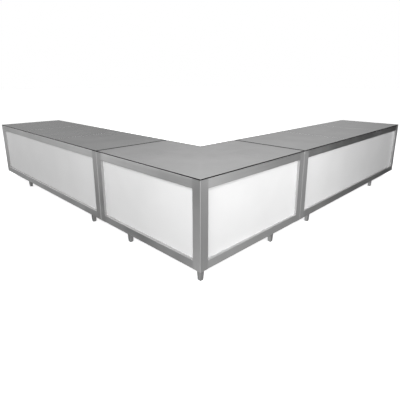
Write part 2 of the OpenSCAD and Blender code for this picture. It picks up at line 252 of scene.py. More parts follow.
@dataclass(frozen=True)
class BrushedSteel(Finish):
    """Stainless steel sheet folded or drawn to a tube and brushed with a belt along its length.

    The belt leaves fine parallel scratches: they stretch every highlight at right angles to the
    grain, and they show from a step away as long faint streaks a few millimetres wide. A 180 grit
    belt leaves scratches of 0.1 mm, too fine for the picture, so the fine streaks are drawn 1.2 mm
    wide and the ones that give the tone 9 mm wide. The belt rubs hardest on the rounded folds, so
    a fold is smoother than the flats. A fold also takes a lighter colour, a painted highlight that
    draws a thin line of light along it. A fold is where the normal leaves all three axes: in full
    where its largest part is below fold_full, and not at all above fold_none.
    """

    grain: Grain
    roughness: float = 0.38
    anisotropy: float = 0.5
    streak_mm: float = 9.0
    streak_length_mm: float = 900.0
    scratch_mm: float = 1.2
    scratch_length_mm: float = 160.0
    scratch_depth_mm: float = 0.05
    scratch_bump: float = 0.25
    cloud_mm: float = 260.0
    # A fold's lighter colour is a painted highlight.
    fold_colour: str = "dcdcdc"
    fold_roughness: float = 0.33
    fold_full: float = 0.90
    fold_none: float = 0.98
    less: float = 0.05
    more: float = 0.07

    def sizes(self, width: float, length: float) -> tuple[float, float, float]:
        """Size of a streak along, across and up, with its length along the grain."""
        place = {Grain.ALONG_ARM: 0, Grain.ACROSS_ARM: 1, Grain.UPRIGHT: 2}[self.grain]
        return tuple(length if i == place else width for i in range(3))

    def tangent(self, tree: Tree, right: Node) -> Node:
        """Direction of the grain as a vector.

        Args:
            tree: the node tree.
            right: the node that gives 1 on the right arm and 0 on the left one.

        Returns:
            The node that gives the direction.
        """
        if self.grain is Grain.UPRIGHT:
            return add_node(tree, "CombineXYZ", {2: 1.0})
        left = add_node(tree, "Math", {"operation": "SUBTRACT", 0: 1.0}, {1: right})
        x, y = (right, left) if self.grain is Grain.ALONG_ARM else (left, right)
        return add_node(tree, "CombineXYZ", links={0: x, 1: y})

    def fold(self, tree: Tree) -> Node:
        """Share of a fold, worked out from the largest part of the normal.

        Args:
            tree: the node tree.

        Returns:
            The node that gives 1 on a fold and 0 on a flat.
        """
        normal = add_node(tree, "NewGeometry").outputs["Normal"]
        turned = add_node(tree, "VectorMath", {"operation": "ABSOLUTE"}, {0: normal})
        axes = add_node(tree, "SeparateXYZ", links={0: turned}).outputs
        largest = axes[0]
        for axis in axes[1:]:
            largest = add_node(tree, "Math", {"operation": "MAXIMUM"}, {0: largest, 1: axis})
        return add_node(tree, "MapRange", {1: self.fold_full, 2: self.fold_none, 3: 1.0, 4: 0.0},
                        {0: largest})

    def material(self) -> Material:
        """Builds the material.

        Returns:
            The material.
        """
        material, tree = new_material(self.name)
        place, right = arm_place(tree)
        streaks = noise(tree, place, self.sizes(self.streak_mm, self.streak_length_mm), detail=3.0)
        scratches = noise(tree, place, self.sizes(self.scratch_mm, self.scratch_length_mm))
        clouds = noise(tree, place, (self.cloud_mm,) * 3)
        streaked = add_node(tree, "Math", {"operation": "ADD"}, {0: streaks, 1: clouds})
        flat = self.tone(tree, streaked, SUM_LOW, SUM_HIGH)
        fold = self.fold(tree)
        # The folds take a lighter colour: a painted highlight along each rounded edge.
        colour = add_node(tree, "Mix", {"data_type": "RGBA", 7: linear(self.fold_colour)},
                          {0: fold, 6: flat}).outputs[2]
        # Handling dulls the steel in clouds, and the scratches add half as much again. The sum of
        # the one and a half noises lies between 0.5 and 1.
        handled = add_node(tree, "Math", {"operation": "MULTIPLY_ADD", 1: 0.5},
                           {0: scratches, 2: clouds})
        brushed = add_node(tree, "MapRange", {1: 0.5, 2: 1.0, 3: self.roughness - self.less,
                                              4: self.roughness + self.more}, {0: handled})
        roughness = add_node(tree, "Mix", {3: self.fold_roughness}, {0: fold, 2: brushed})
        bump = add_node(tree, "Bump", {"Strength": self.scratch_bump,
                                       "Distance": self.scratch_depth_mm * MM},
                        {"Height": scratches})
        # A quarter turn lays the highlight across the tangent, which runs with the grain.
        add_shader(tree, {"Metallic": 1.0, "Anisotropic": self.anisotropy,
                          "Anisotropic Rotation": 0.25},
                   {"Base Color": colour, "Roughness": roughness, "Normal": bump,
                    "Tangent": self.tangent(tree, right)})
        return material


@dataclass(frozen=True)
class PaintedGlass(Finish):
    """Float glass painted grey on its underside.

    The paint is even, so the colour hardly moves; the surface has a clear gloss, dulled by wiping
    in broad arcs. The wipe marks show as faint clouds in the reflection.
    """

    roughness: float = 0.20
    change: float = 0.012
    cloud_mm: float = 420.0
    cloud_low: float = 0.35
    cloud_high: float = 0.65
    wipe_mm: tuple[float, float, float] = (90.0, 420.0, 90.0)

    def material(self) -> Material:
        """Builds the material.

        Returns:
            The material.
        """
        material, tree = new_material(self.name)
        place, _ = arm_place(tree)
        clouds = noise(tree, place, (self.cloud_mm,) * 3, detail=3.0)
        wipes = noise(tree, place, self.wipe_mm)
        dulled = add_node(tree, "Math", {"operation": "ADD"}, {0: wipes, 1: clouds})
        roughness = add_node(tree, "MapRange",
                             {1: SUM_LOW, 2: SUM_HIGH, 3: self.roughness - self.change,
                              4: self.roughness + self.change}, {0: dulled})
        colour = self.tone(tree, clouds, self.cloud_low, self.cloud_high)
        add_shader(tree, {"IOR": 1.52}, {"Base Color": colour, "Roughness": roughness})
        return material


@dataclass(frozen=True)
class OpalAcrylic(Finish):
    """Opal white acrylic sheet with a satin face.

    The face is even and almost white with a soft sheen; at a low angle it still mirrors the frame
    beside it. The cast sheet is slightly wavy, so that reflection wanders a little, and cleaning
    leaves a very slow change of gloss.
    """

    roughness: float = 0.35
    cloud_mm: float = 500.0
    ripple_mm: float = 140.0
    ripple_depth_mm: float = 0.3
    ripple_bump: float = 0.3
    change: float = 0.04

    def material(self) -> Material:
        """Builds the material.

        Returns:
            The material.
        """
        material, tree = new_material(self.name)
        place, _ = arm_place(tree)
        clouds = noise(tree, place, (self.cloud_mm,) * 3)
        ripple = noise(tree, place, (self.ripple_mm,) * 3, detail=1.0)
        roughness = add_node(tree, "MapRange",
                             {1: NOISE_LOW, 2: NOISE_HIGH, 3: self.roughness - self.change,
                              4: self.roughness + self.change}, {0: clouds})
        bump = add_node(tree, "Bump", {"Strength": self.ripple_bump,
                                       "Distance": self.ripple_depth_mm * MM}, {"Height": ripple})
        add_shader(tree, {"IOR": 1.49}, {"Base Color": self.tone(tree, clouds),
                                         "Roughness": roughness, "Normal": bump})
        return material


@dataclass(frozen=True)
class Laminate(Finish):
    """Chipboard faced with grey melamine, its cut edges banded.

    The facing has a fine pearl texture with specks of 1 to 2 mm, drawn 4 mm wide so that they show;
    the banded edges are a shade darker than the faces. The upright part of the normal tells them
    apart: all band below band_full, and all face above band_none.
    """

    band: str
    roughness: float = 0.45
    speck_mm: float = 4.0
    speck_depth_mm: float = 0.05
    speck_bump: float = 0.2
    cloud_mm: float = 350.0
    band_full: float = 0.4
    band_none: float = 0.6
    less: float = 0.05
    more: float = 0.08

    def material(self) -> Material:
        """Builds the material.

        Returns:
            The material.
        """
        material, tree = new_material(self.name)
        place, _ = arm_place(tree)
        specks = noise(tree, place, (self.speck_mm,) * 3, detail=3.0)
        clouds = noise(tree, place, (self.cloud_mm,) * 3)
        speckled = add_node(tree, "Math", {"operation": "ADD"}, {0: specks, 1: clouds})
        face = self.tone(tree, speckled, SUM_LOW, SUM_HIGH)
        normal = add_node(tree, "NewGeometry").outputs["Normal"]
        up = add_node(tree, "SeparateXYZ", links={0: normal}).outputs[2]
        level = add_node(tree, "Math", {"operation": "ABSOLUTE"}, {0: up})
        flat = add_node(tree, "MapRange", {1: self.band_full, 2: self.band_none}, {0: level})
        colour = add_node(tree, "Mix", {"data_type": "RGBA", 6: linear(self.band)},
                          {0: flat, 7: face}).outputs[2]
        roughness = add_node(tree, "MapRange",
                             {1: NOISE_LOW, 2: NOISE_HIGH, 3: self.roughness - self.less,
                              4: self.roughness + self.more}, {0: specks})
        bump = add_node(tree, "Bump", {"Strength": self.speck_bump,
                                       "Distance": self.speck_depth_mm * MM}, {"Height": specks})
        add_shader(tree, {"IOR": 1.5},
                   {"Base Color": colour, "Roughness": roughness, "Normal": bump})
        return material


@dataclass(frozen=True)
class MottledFinish(Finish):
    """A plated, anodised, ground, cast or moulded surface without a grain.

    Its colour and gloss move a little in patches: crystals on zinc, drawing marks on aluminium,
    bloom on rubber and plastic. The patches are mottle_mm wide. Bloom is matt, so rubber stays
    black at a low angle too, and its specular level is low. A metal keeps the default IOR.
    """

    metallic: float
    roughness: float
    mottle_mm: tuple[float, float, float]
    bump: float = 0.1
    ior: Optional[float] = None
    specular: float = 0.5
    mottle_depth_mm: float = 0.1
    detail: float = 3.0
    less: float = 0.06
    more: float = 0.08

    def material(self) -> Material:
        """Builds the material.

        Returns:
            The material.
        """
        material, tree = new_material(self.name)
        place, _ = arm_place(tree)
        mottle = noise(tree, place, self.mottle_mm, self.detail)
        roughness = add_node(tree, "MapRange",
                             {1: NOISE_LOW, 2: NOISE_HIGH, 3: self.roughness - self.less,
                              4: self.roughness + self.more}, {0: mottle})
        bump = add_node(tree, "Bump", {"Strength": self.bump,
                                       "Distance": self.mottle_depth_mm * MM}, {"Height": mottle})
        settings = {"Metallic": self.metallic, "Specular IOR Level": self.specular}
        if self.ior is not None:
            settings["IOR"] = self.ior
        add_shader(tree, settings, {"Base Color": self.tone(tree, mottle),
                                    "Roughness": roughness, "Normal": bump})
        return material


@dataclass(frozen=True)
class Finishes:
    """Every finish on the counter, each named for what it is."""

    # The lighter fold colours of the post and the foot are painted highlights.
    post: Finish = BrushedSteel("brushed_stainless_post", "cacaca", "d6d6d6", Grain.UPRIGHT,
                                fold_colour="f2f2f2")
    rail: Finish = BrushedSteel("brushed_stainless_rail", "cccccc", "d8d8d8", Grain.ALONG_ARM)
    end_rail: Finish = BrushedSteel("brushed_stainless_end_rail", "cccccc", "d8d8d8",
                                    Grain.ACROSS_ARM)
    upright: Finish = BrushedSteel("brushed_stainless_upright", "cacaca", "d6d6d6", Grain.UPRIGHT)
    bar: Finish = BrushedSteel("brushed_stainless_bar", "c6c6c6", "d2d2d2", Grain.ACROSS_ARM)
    # The feet take a darker steel than the frame: painted shade for the shadow under the counter.
    foot: Finish = BrushedSteel("satin_stainless_foot", "b2b2b2", "bebebe", Grain.UPRIGHT, 0.42,
                                0.2, 4.0, 90.0, fold_colour="c8c8c8", fold_roughness=0.42)
    glass: Finish = PaintedGlass("grey_painted_glass", "8e8e8e", "959595")
    # The left unit's plates take a darker copy of the grey glass.
    left_glass: Finish = PaintedGlass("grey_painted_glass_darker_batch", "7e7e7e", "858585")
    # Light that enters the ground edge is lost in the painted plate, so it looks almost black.
    glass_edge: Finish = MottledFinish("ground_glass_edge", "262626", "303030", 0.0, 0.45,
                                       (7, 7, 7), 0.0, 1.52, 0.02, detail=2.0, less=0.0, more=0.1)
    panel: Finish = OpalAcrylic("opal_acrylic", "f2f2f2", "f7f7f7")
    sealant: Finish = MottledFinish("white_silicone", "e8e8e8", "f0f0f0", 0.0, 0.35, (30, 30, 30),
                                    0.2, 1.41)
    board: Finish = Laminate("grey_melamine", "c0c0c0", "cccccc", "a5a5a5")
    zinc: Finish = MottledFinish("zinc_plate", "9b9fa3", "b4b8bb", 1.0, 0.38, (6, 6, 6), 0.15)
    bead: Finish = MottledFinish("anodised_aluminium", "bdbfc1", "c9cbcd", 1.0, 0.42, (220, 3, 3),
                                 0.1)
    rubber: Finish = MottledFinish("black_rubber", "0d0d0d", "161616", 0.0, 0.68, (12, 12, 12), 0.3,
                                   1.5, 0.05)
    tape: Finish = MottledFinish("grey_foam_tape", "343434", "404040", 0.0, 0.7, (12, 12, 12), 0.3,
                                 1.5, 0.05)
    plastic: Finish = MottledFinish("black_nylon", "161616", "222222", 0.0, 0.48, (9, 9, 9), 0.2,
                                    1.53)

    def materials(self) -> dict[str, Material]:
        """Builds the material of every finish, and gives them by the finish's name above."""
        return {entry.name: getattr(self, entry.name).material() for entry in fields(self)}


# Surfaces


@dataclass
class Surface:
    """Points and faces of a mesh, with the number of the material that each face takes."""

    points: np.ndarray
    faces: list[list[int]]
    slots: list[int]

    def on(self, points: np.ndarray) -> "Surface":
        """The same faces on other points."""
        return Surface(points, self.faces, self.slots)

    def moved(self, arm: Arm) -> "Surface":
        """The same surface taken from arm coordinates to the row's frame."""
        return self.on(arm.place(self.points))

    def shifted(self, offset: Sequence[float]) -> "Surface":
        """The same surface moved by an offset."""
        return self.on(self.points + np.asarray(offset, float))


def joined(surfaces: Iterable[Surface]) -> Surface:
    """Puts several surfaces into one, each with its own points.

    Args:
        surfaces: the surfaces.

    Returns:
        One surface.
    """
    points, faces, slots, start = [], [], [], 0
    for surface in surfaces:
        points.append(surface.points)
        faces.extend([[i + start for i in face] for face in surface.faces])
        slots.extend(surface.slots)
        start += len(surface.points)
    return Surface(np.concatenate(points), faces, slots)


def skin(grid: np.ndarray, ring_slots: Optional[Sequence[int]] = None,
         closed: bool = False) -> Surface:
    """Covers a stack of rings with faces.

    Ring k is grid[k], a closed loop of M points. Face (k, m) joins points m and m + 1 of ring k to
    the same points of ring k + 1, with m counted round the loop.

    Args:
        grid: array of shape (K, M, 3).
        ring_slots: material number of the band after each ring; all 0 if left out.
        closed: joins the last ring to the first one, as on a frame-shaped bead, instead of
            covering both ends with material 0.

    Returns:
        The surface.
    """
    rings, around = grid.shape[:2]
    bands = rings if closed else rings - 1
    k, m = np.meshgrid(np.arange(bands), np.arange(around), indexing="ij")
    following = (k + 1) % rings * around
    beside = (m + 1) % around
    quads = np.stack([k * around + m, k * around + beside, following + beside, following + m],
                     axis=-1)
    faces = quads.reshape(-1, 4).tolist()
    slots = np.repeat(ring_slots if ring_slots is not None else [0] * bands, around).tolist()
    if not closed:
        faces.append(list(range(around))[::-1])
        faces.append(list(range((rings - 1) * around, rings * around)))
        slots.extend([0, 0])
    return Surface(grid.reshape(-1, 3), faces, slots)


def laid(u: np.ndarray, v: np.ndarray, w: np.ndarray, normal_axis: int,
         low: np.ndarray) -> np.ndarray:
    """Points with w on the normal axis and u and v on the other two, from the lowest corner."""
    axes = [u, v][:normal_axis] + [np.broadcast_to(w, u.shape)] + [u, v][normal_axis:]
    return np.stack(axes, axis=-1) + low


def sheet_surface(low: Sequence[float], high: Sequence[float], normal_axis: int, corner: float,
                  arris: float, steps: int = 4) -> Surface:
    """A flat sheet with round corners and a rounded arris along both faces.

    The outline is a rectangle whose corners are quarter circles: a centre plus a radius times
    (cos, sin). The profile goes up the edge: a flat land as wide as the arris, a quarter circle of
    radius arris, the straight edge, another quarter circle and another land, each point an inset
    from the outline and a level. Ring k is the outline with inset k taken off its corner radius, at
    level k. The lands keep the bend of the arris out of the shading of the flat faces.

    Args:
        low: lowest corner of the sheet.
        high: highest corner.
        normal_axis: the axis across the thickness.
        corner: radius of the four corners, more than twice the arris.
        arris: radius of the rounded arris.
        steps: segments of each quarter circle.

    Returns:
        The surface. Its flat faces, its lands and its upper arris take material 0, and the rest of
        its edge takes material 1.
    """
    low, high = np.asarray(low, float), np.asarray(high, float)
    width, length = np.delete(high - low, normal_axis)
    thickness = (high - low)[normal_axis]
    turn = np.linspace(0, math.pi / 2, steps + 1)
    quarter = np.arange(4)[:, None] * math.pi / 2
    angle = (quarter + turn).ravel()
    side = np.sign(np.cos(quarter + math.pi / 4)), np.sign(np.sin(quarter + math.pi / 4))
    centre_u = np.repeat((width / 2 + side[0] * (width / 2 - corner)).ravel(), steps + 1)
    centre_v = np.repeat((length / 2 + side[1] * (length / 2 - corner)).ravel(), steps + 1)
    inset = arris * (1 - np.sin(turn))
    rise = arris * (1 - np.cos(turn))
    insets = np.concatenate([[2 * arris], inset, inset[::-1], [2 * arris]])
    levels = np.concatenate([[0.0], rise, (thickness - rise)[::-1], [thickness]])
    radius = corner - insets[:, None]
    u = centre_u + radius * np.cos(angle)
    v = centre_v + radius * np.sin(angle)
    return skin(laid(u, v, levels[:, None], normal_axis, low),
                [0] + [1] * (steps + 1) + [0] * (steps + 1))


def fillet_surface(low: Sequence[float], high: Sequence[float], normal_axis: int, outward: int,
                   width: float, steps: int = 4) -> Surface:
    """A bead of sealant along the four inner edges of an opening, mitred at its corners.

    Its section is bounded by the sheet, the frame and a hollow quarter circle between them: the
    inset and the level of a point at angle t are width * (1 - sin t) and width * (1 - cos t).

    Args:
        low: lowest corner of the opening, on the sheet's face.
        high: highest corner, in the same plane.
        normal_axis: the axis across the sheet.
        outward: 1 or -1, the side of the sheet that the bead lies on.
        width: how far the bead reaches over the sheet and over the frame.
        steps: segments of the hollow curve.

    Returns:
        The surface.
    """
    low, high = np.asarray(low, float), np.asarray(high, float)
    width_u, width_v = np.delete(high - low, normal_axis)
    turn = np.linspace(0, math.pi / 2, steps + 1)
    insets = np.concatenate([width * (1 - np.sin(turn)), [0.0]])
    levels = np.concatenate([width * (1 - np.cos(turn)), [0.0]])
    sign_u = np.array([1, -1, -1, 1])
    sign_v = np.array([1, 1, -1, -1])
    u = width_u / 2 + sign_u * (width_u / 2 - insets[:, None])
    v = width_v / 2 + sign_v * (width_v / 2 - insets[:, None])
    return skin(laid(u, v, outward * levels[:, None], normal_axis, low), closed=True)


def stacked(size: np.ndarray, x: np.ndarray, y: np.ndarray, levels: np.ndarray) -> Surface:
    """Closed stack of level sections: point m of section k is size[k, m] * (x[m], y[m])."""
    wide, deep = size * x, size * y
    return skin(np.stack([wide, deep, np.broadcast_to(levels[:, None], wide.shape)], axis=-1))


def make_piece(name: str, surface: Surface, materials: Sequence[Material],
               replaces: Sequence[str] = (), body: str = BODY) -> Piece:
    """Makes an object of a surface in the row's frame and ties it to its body.

    Its normals are worked out anew, because a surface laid on the left arm is mirrored.

    Args:
        name: the piece's name.
        surface: points and faces in the row's frame.
        materials: one material for each number in surface.slots.
        replaces: the plain solids that it stands for.
        body: the body that it moves with.

    Returns:
        The object.
    """
    mesh = bpy.data.meshes.new(name)
    mesh.from_pydata(surface.points.tolist(), [], surface.faces)
    for material in materials:
        mesh.materials.append(material)
    mesh.polygons.foreach_set("material_index", surface.slots)
    shell = bmesh.new()
    shell.from_mesh(mesh)
    bmesh.ops.recalc_face_normals(shell, faces=shell.faces)
    shell.to_mesh(mesh)
    shell.free()
    mesh.shade_smooth()
    mesh.set_sharp_from_angle(angle=SMOOTH_ANGLE)
    piece = bpy.data.objects.new(name, mesh)
    bpy.context.scene.collection.objects.link(piece)
    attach(piece, body)
    if replaces:
        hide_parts(*replaces)
    log.info("%s: %d faces on %s", name, len(mesh.polygons), body)
    return piece


def dress_node(node: str, material: Material) -> None:
    """Gives a solid of the frame its material in every slot.

    Args:
        node: the solid's name.
        material: its material.
    """
    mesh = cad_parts[node].data
    for i in range(len(mesh.materials)):
        mesh.materials[i] = material
    log.info("%s: %s", node, material.name)


# Sub-assemblies


@dataclass
class Row:
    """The driving dimensions of the row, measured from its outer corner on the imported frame."""

    post_width: float = 85 * MM
    upright_width: float = 40 * MM
    bay_count: int = 3
    joint: float = field(init=False)
    length: float = field(init=False)
    depth: float = field(init=False)
    bay: float = field(init=False)
    recess: float = field(init=False)
    glass_start: float = field(init=False)
    glass_low: float = field(init=False)
    glass_top: float = field(init=False)

    def __post_init__(self) -> None:
        """Reads the unit joint, the length, the depth and the worktop's place from the frame."""
        post_low, post_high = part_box("right_posts")
        glass_low, glass_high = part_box("right_worktop")
        self.joint = post_low.x - CAD_LOW.x
        self.length = post_high.x - CAD_LOW.x
        self.depth = post_high.y - CAD_LOW.y
        self.bay = (self.length - self.joint) / self.bay_count
        self.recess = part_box("right_front_panel")[0].y - CAD_LOW.y
        self.glass_start = glass_low.x - CAD_LOW.x
        self.glass_low = glass_low.z
        self.glass_top = glass_high.z

    def bay_joints(self) -> list[float]:
        """Where one bay of a straight unit meets the next, along the arm."""
        return [self.joint + i * self.bay for i in range(1, self.bay_count)]


@dataclass
class DressedSolids:
    """Solids of the frame that keep their shape: the nodes that take each finish."""

    finishes: dict[str, Material]
    nodes: dict[str, tuple[str, ...]]

    def dress(self) -> None:
        """Gives each node its finish."""
        for finish, nodes in self.nodes.items():
            for node in nodes:
                dress_node(node, self.finishes[finish])


@dataclass
class SteelFrame(DressedSolids):
    """Posts, rails, bars, uprights and bearers of the units, each brushed along its length."""

    nodes: dict[str, tuple[str, ...]] = field(default_factory=lambda: {
        "post": ("corner_posts", "right_posts", "left_posts", "post_caps"),
        "rail": ("corner_front_rails", "corner_rear_rails", "right_long_rails", "left_long_rails"),
        "end_rail": ("corner_end_rails", "right_end_rails", "left_end_rails"),
        "bar": ("corner_cross_bars", "right_cross_bars", "left_cross_bars", "corner_bearers",
                "right_shelf_bearers", "left_shelf_bearers"),
        "upright": ("corner_uprights", "right_uprights", "left_uprights"),
    })


@dataclass
class Storage(DressedSolids):
    """Deck boards and shelf boards inside the units."""

    nodes: dict[str, tuple[str, ...]] = field(default_factory=lambda: {
        "board": tuple(f"{unit}_{kind}_boards" for unit in ("corner", "right", "left")
                       for kind in ("deck", "shelf")),
    })


@dataclass
class Fixings(DressedSolids):
    """Bushes, bolts, nuts, black seals, and the foam tape that bonds the glass to the frame."""

    nodes: dict[str, tuple[str, ...]] = field(default_factory=lambda: {
        "zinc": ("foot_bushes", "joining_bolts", "joining_nuts"),
        "rubber": ("joint_seals",),
        "tape": ("worktop_tapes",),
    })


@dataclass
class Worktops:
    """The plates of grey glass, each with ground edges and a polished arris.

    The left unit's plates take a darker copy of the grey glass than the others, which draws the
    step in tone at its joint. The plates of the straight units are jointed with light silicone,
    whose white is a painted highlight: it draws the fine light lines across them that the arrises
    catch. Those of the corner unit have an open gap.
    """

    finishes: dict[str, Material]
    row: Row
    plate_gap: float = 1.5 * MM
    filled_gap: float = 4.0 * MM
    filler_depth: float = 0.4 * MM
    filler_crown: float = 0.4 * MM
    filler_corner: float = 1.0 * MM
    corner: float = 3.0 * MM
    arris: float = 0.6 * MM

    def plate(self, name: str, low: Sequence[float], high: Sequence[float], arm: Arm,
              replaces: str, finish: str = "glass") -> Piece:
        """Makes one plate.

        Args:
            name: the piece's name.
            low: its lowest corner in arm coordinates, with no height.
            high: its highest corner.
            arm: the arm that it lies on.
            replaces: the solid that it stands for.
            finish: the glass that it is cut from.

        Returns:
            The plate.
        """
        surface = sheet_surface([*low, self.row.glass_low], [*high, self.row.glass_top], 2,
                                self.corner, self.arris)
        return make_piece(name, surface.moved(arm),
                          [self.finishes[finish], self.finishes["glass_edge"]],
                          [replaces])

    def filler(self, along: float) -> Surface:
        """The silicone in the joint between two plates, in arm coordinates.

        Args:
            along: the middle of the joint.

        Returns:
            Its surface, a little below the glass.
        """
        half = self.filled_gap / 2
        low = [along - half, self.arris, self.row.glass_low]
        high = [along + half, self.row.depth - self.arris, self.row.glass_top - self.filler_depth]
        return sheet_surface(low, high, 2, self.filler_corner, self.filler_crown)

    def straight_unit(self, arm: Arm) -> list[Piece]:
        """Makes the plates of a straight unit, and the silicone between them.

        Args:
            arm: the arm that the unit is on.

        Returns:
            Its plates.
        """
        row, side = self.row, arm.value
        joints = row.bay_joints()
        half = self.filled_gap / 2
        starts = [row.glass_start, *(joint + half for joint in joints)]
        ends = [*(joint - half for joint in joints), row.length]
        plates = [self.plate(f"{side}_glass_{number}", [start, 0], [end, row.depth], arm,
                             f"{side}_worktop", "left_glass" if arm is Arm.LEFT else "glass")
                  for number, (start, end) in enumerate(zip(starts, ends), 1)]
        # The light silicone draws the fine light lines across the top: a painted highlight.
        make_piece(f"{side}_glass_joints", joined(map(self.filler, joints)).moved(arm),
                   [self.finishes["sealant"]] * 2)
        return plates

    def build(self) -> list[Piece]:
        """Makes the plates. Both sides of a unit joint have their own distance to the seal.

        Returns:
            The nine plates.
        """
        depth, half = self.row.depth, self.plate_gap / 2
        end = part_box("corner_worktop")[1].x - CAD_LOW.x
        plates = [self.plate("corner_glass_square", [0, 0], [depth - half, depth - half], Arm.RIGHT,
                             "corner_worktop")]
        for arm in Arm:
            plates.append(self.plate(f"corner_glass_{arm.value}", [depth + half, 0], [end, depth],
                                     arm, "corner_worktop"))
            plates.extend(self.straight_unit(arm))
        return plates


@dataclass
class Panels:
    """The white panels, the sealant round them, and the screws that hold their beads."""

    finishes: dict[str, Material]
    row: Row
    nodes: tuple[str, ...] = ("corner_panel_right", "corner_panel_left", "right_front_panel",
                              "left_front_panel", "right_end_panel", "left_end_panel")
    beads: tuple[str, ...] = ("corner_panel_beads", "right_panel_beads", "left_panel_beads")
    corner: float = 2.0 * MM
    arris: float = 0.6 * MM
    thickness: float = 6.0 * MM
    panel_gap: float = 1.0 * MM
    fillet: float = 4.0 * MM
    bead_width: float = 10.0 * MM
    screw_radius: float = 3.8 * MM
    screw_height: float = 2.2 * MM
    screws_per_bay: int = 3

    def panel(self, node: str) -> None:
        """Makes a panel and the sealant on its outer face, from the box of its plain solid.

        Args:
            node: the plain solid.
        """
        low, high = (np.array(v, float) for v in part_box(node))
        across = int(np.argmin(high - low))
        sheet = sheet_surface(low, high, across, self.corner, self.arris)
        make_piece(f"{node}_sheet", sheet, [self.finishes["panel"]] * 2, [node])
        outward = 1 if low[across] > 0 else -1
        face = high[across] if outward > 0 else low[across]
        edge_low, edge_high = low - self.panel_gap, high + self.panel_gap
        edge_low[across] = edge_high[across] = face
        fillet = fillet_surface(edge_low, edge_high, across, outward, self.fillet)
        make_piece(f"{node}_sealant", fillet, [self.finishes["sealant"]])

    def screw_head(self) -> Surface:
        """A button head with a socket, standing on z = 0.

        It is turned about the z axis, and its profile goes up the rim, over the dome and down into
        the socket.

        Returns:
            Its surface.
        """
        radii = self.screw_radius * np.array([1, 1, 0.86, 0.5, 0.42, 0.42, 0.05])
        levels = self.screw_height * np.array([0, 0.25, 0.75, 1, 1, 0.45, 0.45])
        angle = np.linspace(0, 2 * math.pi, 12, endpoint=False)
        return stacked(radii[:, None], np.cos(angle), np.sin(angle), levels)

    def screw_places(self, first: float, last: float) -> np.ndarray:
        """Places of the screws along a bay, each in the middle of an equal share of it."""
        shares = (np.arange(self.screws_per_bay) + 0.5) / self.screws_per_bay
        return first + (last - first) * shares

    def front_screws(self, bays: Sequence[tuple[float, float]]) -> list[Surface]:
        """Screws in the top bead and the two side beads behind a front, in arm coordinates.

        Args:
            bays: start and end of each bay along the arm; the first and last ends are posts.

        Returns:
            One surface for each screw.
        """
        low, high = (corner.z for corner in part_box("right_panel_beads"))
        back = self.row.recess + self.thickness + self.bead_width
        half = self.bead_width / 2
        spots = [(a, high - half) for bay in bays for a in self.screw_places(*bay)]
        for side in (bays[0][0] + half, bays[-1][1] - half):
            spots.extend((side, z) for z in self.screw_places(low, high))
        head = self.screw_head()
        turned = head.on(head.points[:, [0, 2, 1]])
        return [turned.shifted((a, back, z)) for a, z in spots]

    def end_screws(self) -> list[Surface]:
        """Screws in the beads behind the end panel of a straight unit, in arm coordinates.

        Returns:
            One surface for each screw.
        """
        row = self.row
        screws = self.front_screws([(row.post_width, row.depth - row.post_width)])
        return [s.on(s.points[:, [1, 0, 2]] * [-1, 1, 1] + [row.length, 0, 0]) for s in screws]

    def build(self) -> None:
        """Makes the panels, the sealant and the screws, and dresses the beads."""
        row = self.row
        for node in self.nodes:
            self.panel(node)
        for node in self.beads:
            dress_node(node, self.finishes["bead"])
        middle = row.depth - row.upright_width / 2
        corner_bays = [(row.post_width, middle), (middle, row.joint - row.post_width)]
        joints = row.bay_joints()
        straight_bays = list(zip([row.joint + row.post_width, *joints],
                                 [*joints, row.length - row.post_width]))
        for arm in Arm:
            side = arm.value
            corner = self.front_screws(corner_bays)
            straight = self.front_screws(straight_bays) + self.end_screws()
            for name, screws in ((f"corner_bead_screws_{side}", corner),
                                 (f"{side}_bead_screws", straight)):
                make_piece(name, joined(screws).moved(arm), [self.finishes["zinc"]])


